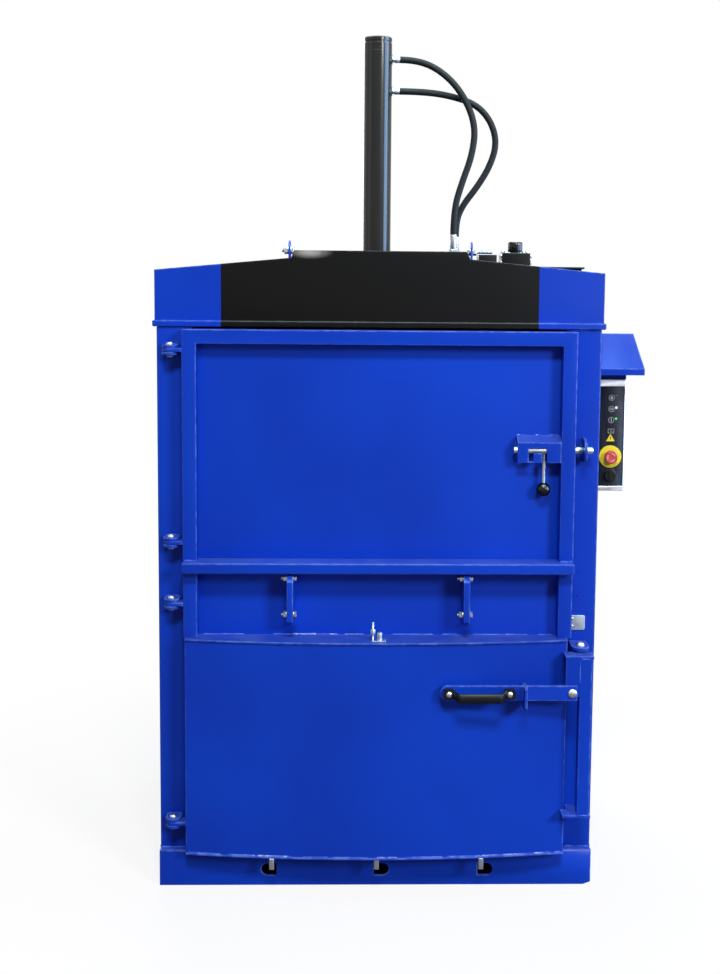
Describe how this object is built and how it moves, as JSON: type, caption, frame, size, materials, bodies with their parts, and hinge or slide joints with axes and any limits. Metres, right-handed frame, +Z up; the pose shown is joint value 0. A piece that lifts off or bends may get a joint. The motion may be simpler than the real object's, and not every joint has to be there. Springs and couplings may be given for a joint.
{
  "type": "vertical baler",
  "caption": "Compact vertical baler: press cabinet with an upper loading door, a lower bale door, a latch, a closing bar and a hydraulic cylinder on top.",
  "frame": {"origin": "on the floor under the middle of the cabinet's width and depth", "axes": "+X to the operator's right, +Y from the doors to the back wall, +Z up"},
  "size_m": [1.385, 0.964, 2.475],
  "materials": {
    "blue_paint": "gloss enamel over welded steel",
    "black_paint": "satin black enamel",
    "zinc": "zinc plated",
    "hard_chrome": "polished rod",
    "aluminium": "anodised frame",
    "panel_plastic": "satin panel",
    "black_plastic": "moulded",
    "hose_rubber": "ribbed cover",
    "yellow_plastic": "moulded",
    "red_plastic": "moulded",
    "grey_plate": "moulded"
  },
  "bodies": {
    "frame": {"base_front_beam": "blue_paint", "base_side_beams": "blue_paint", "base_back_beam": "blue_paint", "base_plate": "blue_paint", "chamber_floor": "blue_paint", "front_columns": "blue_paint", "rear_posts": "blue_paint", "side_walls": "blue_paint", "back_wall": "blue_paint", "head_deck": "blue_paint", "head_front_cheek": "blue_paint", "head_back_cheek": "blue_paint", "head_ends": "blue_paint", "head_lugs": "blue_paint", "cylinder_barrel": "black_paint", "cylinder_cap": "black_paint", "cylinder_fittings": "zinc", "piston_rod": "hard_chrome", "press_platen": "blue_paint", "oil_tank": "black_paint", "valve_block": "zinc", "valve_sleeves": "zinc", "pump_head": "black_paint", "terminal_box": "black_plastic", "breather_cap": "black_plastic", "hose_upper": "hose_rubber", "hose_lower": "hose_rubber", "control_box": "blue_paint", "control_bezel": "aluminium", "control_panel": "panel_plastic", "control_hood": "blue_paint", "stop_collar": "yellow_plastic", "selector_knob": "black_plastic", "hinge_ears": "blue_paint", "hinge_pins": "zinc", "latch_keeper": "blue_paint", "closing_bar_ears": "blue_paint", "closing_bar_pins": "zinc", "interlock_plate": "grey_plate"},
    "upper_door": {"upper_door_stiles": "blue_paint", "upper_door_top_rail": "blue_paint", "upper_door_crossbar": "blue_paint", "upper_door_panel": "blue_paint", "upper_door_leaves": "blue_paint", "latch_housing": "blue_paint"},
    "latch_bolt": {"latch_bolt": "zinc"},
    "latch_handle": {"latch_handle_rod": "zinc", "latch_ball": "black_plastic"},
    "lower_door": {"lower_door_panel": "blue_paint", "lower_door_stiles": "blue_paint", "lower_door_shelves": "blue_paint", "lower_door_skin": "blue_paint", "lower_door_leaves": "blue_paint", "strap_brackets": "blue_paint", "strap_fingers": "zinc"},
    "closing_bar": {"closing_bar": "blue_paint", "closing_lever": "blue_paint", "lever_grip": "black_plastic"},
    "stop_button": {"stop_button": "red_plastic"}
  },
  "joints": [
    {"name": "upper_door_hinge", "type": "hinge", "parent": "frame", "child": "upper_door", "pos_m": [-0.584, -0.43, 1.2815], "axis": [0, 0, -1], "range_deg": [0, 120]},
    {"name": "latch_bolt_slide", "type": "slide", "parent": "upper_door", "child": "latch_bolt", "axis": [-1, 0, 0], "range_m": [0, 0.038]},
    {"name": "latch_handle_turn", "type": "hinge", "parent": "latch_bolt", "child": "latch_handle", "pos_m": [0.463, -0.435, 1.277], "axis": [-1, 0, 0], "range_deg": [0, 90]},
    {"name": "lower_door_hinge", "type": "hinge", "parent": "frame", "child": "lower_door", "pos_m": [-0.584, -0.43, 0.514], "axis": [0, 0, -1], "range_deg": [0, 120]},
    {"name": "closing_bar_turn", "type": "hinge", "parent": "frame", "child": "closing_bar", "pos_m": [0.574, -0.46, 0.46], "axis": [0, 0, 1], "range_deg": [0, 110]},
    {"name": "stop_button_press", "type": "slide", "parent": "frame", "child": "stop_button", "axis": [0, 1, 0], "range_m": [0, 0.004], "stiffness_N_per_m": 500}
  ]
}
